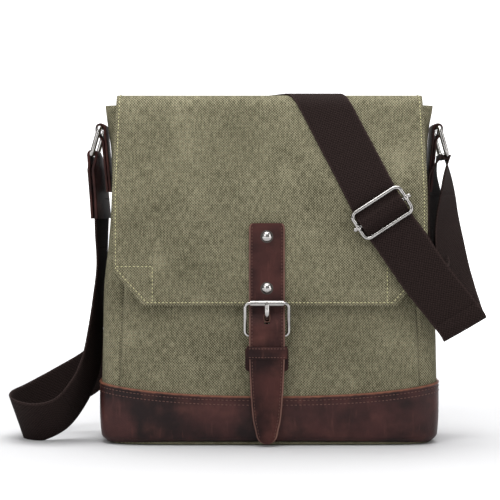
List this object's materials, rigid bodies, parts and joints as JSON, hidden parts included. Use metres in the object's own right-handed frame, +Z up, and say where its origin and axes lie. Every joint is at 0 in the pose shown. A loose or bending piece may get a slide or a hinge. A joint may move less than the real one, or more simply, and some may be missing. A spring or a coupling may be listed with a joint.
{
  "type": "messenger bag",
  "caption": "Small upright canvas messenger bag with leather base, strap-and-buckle flap, side rings and an adjustable webbing shoulder strap.",
  "frame": {"origin": "middle of the base, on the floor the bag stands on", "axes": "+Z up, the flap and buckle face -Y, +X to the right seen from the front"},
  "size_m": [0.3784, 0.1097, 0.276],
  "materials": {
    "canvas": "olive cotton canvas, matt",
    "leather": "dark reddish-brown pull-up leather, satin",
    "lining": "plain cotton lining",
    "webbing": "dark brown cotton webbing",
    "nickel": "polished nickel",
    "board": "stiff fibre board"
  },
  "bodies": {
    "bag": {"leather_base_band": "leather", "top_hem": "canvas", "front_panel": "canvas", "back_panel": "canvas", "gusset_left": "canvas", "gusset_right": "canvas", "bottom_panel": "canvas", "stiffener_board": "board", "lining": "lining", "inner_pocket": "lining", "flap_hinge_strip": "canvas", "closure_patch": "leather", "snap_socket": "nickel", "side_tab_left": "leather", "side_tab_right": "leather", "webbing_back_run": "webbing", "webbing_floor_loop": "webbing", "webbing_left_drop": "webbing", "webbing_right_outer": "webbing", "webbing_right_inner": "webbing"},
    "flap": {"flap_canvas": "canvas", "flap_lining": "lining", "flap_corner_patches": "lining", "closing_strap": "leather", "rivets": "nickel", "rivet_washers": "nickel", "buckle_frame": "nickel", "buckle_chape": "leather", "strap_keeper": "leather", "snap_stud": "nickel", "webbing_front_upper": "webbing", "webbing_front_lower": "webbing", "webbing_crest": "webbing"},
    "roller": {"buckle_roller": "nickel"},
    "prong": {"buckle_prong": "nickel"},
    "ring_left": {"side_ring_left": "nickel"},
    "ring_right": {"side_ring_right": "nickel", "webbing_ring_wrap": "webbing"},
    "strap_end": {"strap_end_leather": "leather"},
    "slider": {"slider_frame": "nickel", "slider_bar": "nickel", "slider_webbing_loop": "webbing"}
  },
  "joints": [
    {"name": "flap_hinge", "type": "hinge", "parent": "bag", "child": "flap", "pos_m": [0, 0.0314, 0.262], "axis": [-1, 0, 0], "range_deg": [0, 120], "deforming": ["webbing_crest", "webbing_right_outer", "webbing_right_inner"]},
    {"name": "roller_spin", "type": "hinge", "parent": "flap", "child": "roller", "pos_m": [-0.0022, -0.0546, 0.1114], "axis": [1, 0, 0], "continuous": true},
    {"name": "prong_hinge", "type": "hinge", "parent": "flap", "child": "prong", "pos_m": [-0.0022, -0.0517, 0.0865], "axis": [1, 0, 0], "range_deg": [0, 6]},
    {"name": "ring_left_swing", "type": "hinge", "parent": "bag", "child": "ring_left", "pos_m": [-0.1334, 0, 0.2475], "axis": [0, 1, 0], "range_deg": [-1, 25], "deforming": ["webbing_left_drop"]},
    {"name": "ring_right_swing", "type": "hinge", "parent": "bag", "child": "ring_right", "pos_m": [0.1334, 0, 0.2475], "axis": [0, -1, 0], "range_deg": [-4, 25]},
    {"name": "strap_end_swing", "type": "hinge", "parent": "ring_left", "child": "strap_end", "pos_m": [-0.13946, 0, 0.22635], "axis": [0, 1, 0], "range_deg": [-1, 15]},
    {"name": "slider_slide", "type": "slide", "parent": "flap", "child": "slider", "axis": [0.5446, 0, -0.8387], "range_m": [-0.012, 0.012]}
  ]
}
